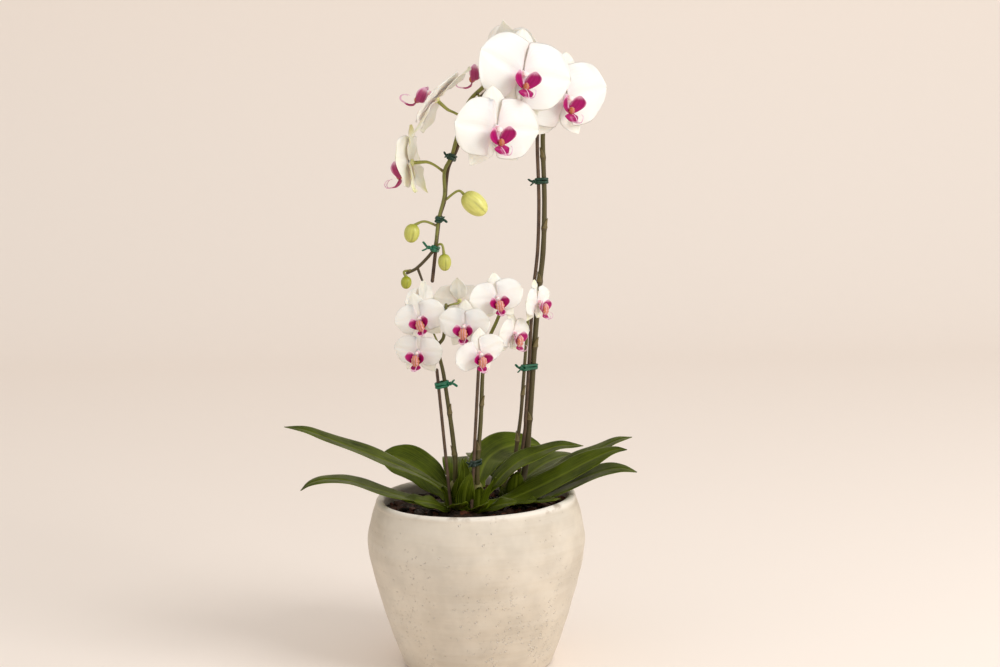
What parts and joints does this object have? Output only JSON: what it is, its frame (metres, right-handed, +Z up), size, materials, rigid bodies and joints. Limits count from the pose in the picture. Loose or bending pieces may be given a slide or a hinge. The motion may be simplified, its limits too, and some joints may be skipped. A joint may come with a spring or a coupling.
{
  "type": "potted orchid",
  "caption": "Arching and upright moth orchid spikes with white blooms and magenta lips over long strap leaves, in a round-shouldered off-white stoneware pot of bark.",
  "frame": {"origin": "middle of the pot's flat foot, on the surface that the pot stands on", "axes": "+Z up; -Y towards the front, the side that the blooms face; +X to the right as seen from the front"},
  "size_m": [0.3698, 0.2443, 0.6859],
  "materials": {
    "stoneware": "unglazed off-white stoneware, weathered and pitted, with faint turning marks",
    "bark": "loose dark bark chips",
    "leaf": "living leaf, thick and satin, deep olive green",
    "spike": "living stem, olive green turning brown lower down",
    "coated_wire": "dark brown coated steel",
    "twist_tie": "dark green plastic-covered tie",
    "petal": "living petal, warm white and soft, faintly pink at the centre",
    "lip": "living petal, magenta, with an orange and yellow middle"
  },
  "bodies": {
    "root": {"pot": "stoneware", "potting_mix": "bark", "spike_tall": "spike", "spike_left": "spike", "spike_middle": "spike", "spike_rear": "spike", "support_wire": "coated_wire", "stake_left": "coated_wire", "stake_middle": "coated_wire", "tie_wire_top": "twist_tie", "tie_wire_low": "twist_tie", "tie_stake_left": "twist_tie", "tie_stake_middle": "twist_tie", "tie_hanging_top": "twist_tie", "tie_hanging_mid": "twist_tie", "tie_hanging_low": "twist_tie", "leaf_left_long": "leaf", "leaf_left_back": "leaf", "leaf_left_low": "leaf", "leaf_left_inner": "leaf", "leaf_middle_inner": "leaf", "leaf_middle_back": "leaf", "leaf_middle_arched": "leaf", "leaf_middle_long": "leaf", "leaf_tall_long": "leaf", "leaf_tall_low": "leaf", "leaf_rear_side": "leaf", "leaf_rear_back": "leaf", "bloom_large_1": "petal", "bloom_large_2": "petal", "bloom_large_3": "petal", "bloom_large_4": "petal", "bloom_large_5": "petal", "bloom_large_6": "petal", "bloom_large_7": "petal", "bloom_small_1": "petal", "bloom_small_2": "petal", "bloom_small_3": "petal", "bloom_small_4": "petal", "bloom_small_5": "petal", "bloom_small_6": "petal", "bloom_small_7": "petal", "bloom_small_8": "petal", "bloom_small_9": "petal", "lip_large_1": "lip", "lip_large_2": "lip", "lip_large_3": "lip", "lip_large_4": "lip", "lip_large_5": "lip", "lip_large_6": "lip", "lip_large_7": "lip", "lip_small_1": "lip", "lip_small_2": "lip", "lip_small_3": "lip", "lip_small_4": "lip", "lip_small_5": "lip", "lip_small_6": "lip", "lip_small_7": "lip", "lip_small_8": "lip", "lip_small_9": "lip"}
  },
  "joints": []
}
